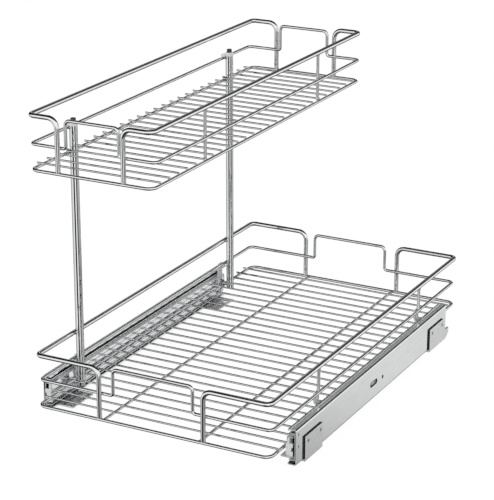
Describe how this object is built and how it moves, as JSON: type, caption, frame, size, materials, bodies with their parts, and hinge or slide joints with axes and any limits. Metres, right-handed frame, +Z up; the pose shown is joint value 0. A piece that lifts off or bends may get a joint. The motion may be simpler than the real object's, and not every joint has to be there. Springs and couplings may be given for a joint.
{
  "type": "pull out cabinet basket",
  "caption": "Two-tier chromed wire pull-out basket for a sink cabinet: a wide lower tray and a narrow offset upper tray on ball-bearing side slides that screw to the cabinet floor.",
  "frame": {"origin": "on the cabinet floor, under the middle of the closed unit's bounding box", "axes": "+Z up; the baskets pull out towards -Y, the cabinet's open front; +X is to the right for someone standing in front, and the upper tier stands on the -X side"},
  "size_m": [0.3514, 0.561, 0.39],
  "materials": {
    "basket_chrome": "bright chrome plate on mild steel rod",
    "floor_wire_chrome": "bright chrome plate on drawn wire",
    "tube_chrome": "bright chrome plate on steel tube",
    "rail_zinc": "bright zinc plate, satin, on rolled steel strip",
    "bracket_zinc": "bright zinc plate on pressed steel",
    "strap_zinc": "zinc plate on pressed steel",
    "fastener_steel": "zinc-plated steel",
    "cage_steel": "plain steel strip with a film of grease",
    "ball_steel": "polished hardened steel",
    "white_nylon": "moulded nylon",
    "black_plastic": "moulded, fine grain",
    "insert_steel": "turned steel"
  },
  "bodies": {
    "fixed_rails": {"outer_rail_left": "rail_zinc", "outer_rail_right": "rail_zinc", "floor_bracket_front_left": "bracket_zinc", "floor_bracket_front_right": "bracket_zinc", "floor_bracket_rear_left": "bracket_zinc", "floor_bracket_rear_right": "bracket_zinc", "bracket_rivets_left": "fastener_steel", "bracket_rivets_right": "fastener_steel", "rear_stop_left": "black_plastic", "rear_stop_right": "black_plastic", "cage_bumper_left": "black_plastic", "cage_bumper_right": "black_plastic"},
    "basket": {"inner_rail_left": "rail_zinc", "inner_rail_right": "rail_zinc", "inner_rail_cap_left": "white_nylon", "inner_rail_cap_right": "white_nylon", "hanger_straps_left": "strap_zinc", "hanger_straps_right": "strap_zinc", "strap_screws_left": "fastener_steel", "strap_screws_right": "fastener_steel", "lower_base_frame": "basket_chrome", "lower_floor_wires": "floor_wire_chrome", "lower_support_rods": "basket_chrome", "lower_mid_rail": "basket_chrome", "lower_top_rail_left": "basket_chrome", "lower_top_rail_right": "basket_chrome", "lower_side_posts": "basket_chrome", "support_tube_front": "tube_chrome", "support_tube_rear": "tube_chrome", "tube_foot_plugs": "black_plastic", "tube_inserts": "insert_steel", "tube_caps": "white_nylon", "tube_screws": "black_plastic", "upper_base_frame": "basket_chrome", "upper_floor_wires": "floor_wire_chrome", "upper_mid_rail": "basket_chrome", "upper_top_rail_left": "basket_chrome", "upper_top_rail_right": "basket_chrome", "upper_side_posts": "basket_chrome"},
    "left_middle": {"middle_rail_left": "rail_zinc"},
    "right_middle": {"middle_rail_right": "rail_zinc"},
    "left_outer_cage": {"outer_cage_left": "cage_steel", "outer_balls_left": "ball_steel"},
    "right_outer_cage": {"outer_cage_right": "cage_steel", "outer_balls_right": "ball_steel"},
    "left_inner_cage": {"inner_cage_left": "cage_steel", "inner_balls_left": "ball_steel"},
    "right_inner_cage": {"inner_cage_right": "cage_steel", "inner_balls_right": "ball_steel"}
  },
  "joints": [
    {"name": "basket_slide", "type": "slide", "parent": "fixed_rails", "child": "basket", "axis": [0, -1, 0], "range_m": [0, 0.44]},
    {"name": "left_middle_slide", "type": "slide", "parent": "fixed_rails", "child": "left_middle", "axis": [0, -1, 0], "range_m": [0, 0.22]},
    {"name": "right_middle_slide", "type": "slide", "parent": "fixed_rails", "child": "right_middle", "axis": [0, -1, 0], "range_m": [0, 0.22]},
    {"name": "left_outer_cage_slide", "type": "slide", "parent": "fixed_rails", "child": "left_outer_cage", "axis": [0, -1, 0], "range_m": [0, 0.11]},
    {"name": "right_outer_cage_slide", "type": "slide", "parent": "fixed_rails", "child": "right_outer_cage", "axis": [0, -1, 0], "range_m": [0, 0.11]},
    {"name": "left_inner_cage_slide", "type": "slide", "parent": "fixed_rails", "child": "left_inner_cage", "axis": [0, -1, 0], "range_m": [0, 0.33]},
    {"name": "right_inner_cage_slide", "type": "slide", "parent": "fixed_rails", "child": "right_inner_cage", "axis": [0, -1, 0], "range_m": [0, 0.33]}
  ],
  "couplings": [
    {"joint": "left_middle_slide", "follows": "basket_slide", "ratio": 0.5},
    {"joint": "right_middle_slide", "follows": "basket_slide", "ratio": 0.5},
    {"joint": "left_outer_cage_slide", "follows": "basket_slide", "ratio": 0.25},
    {"joint": "right_outer_cage_slide", "follows": "basket_slide", "ratio": 0.25},
    {"joint": "left_inner_cage_slide", "follows": "basket_slide", "ratio": 0.75},
    {"joint": "right_inner_cage_slide", "follows": "basket_slide", "ratio": 0.75}
  ]
}
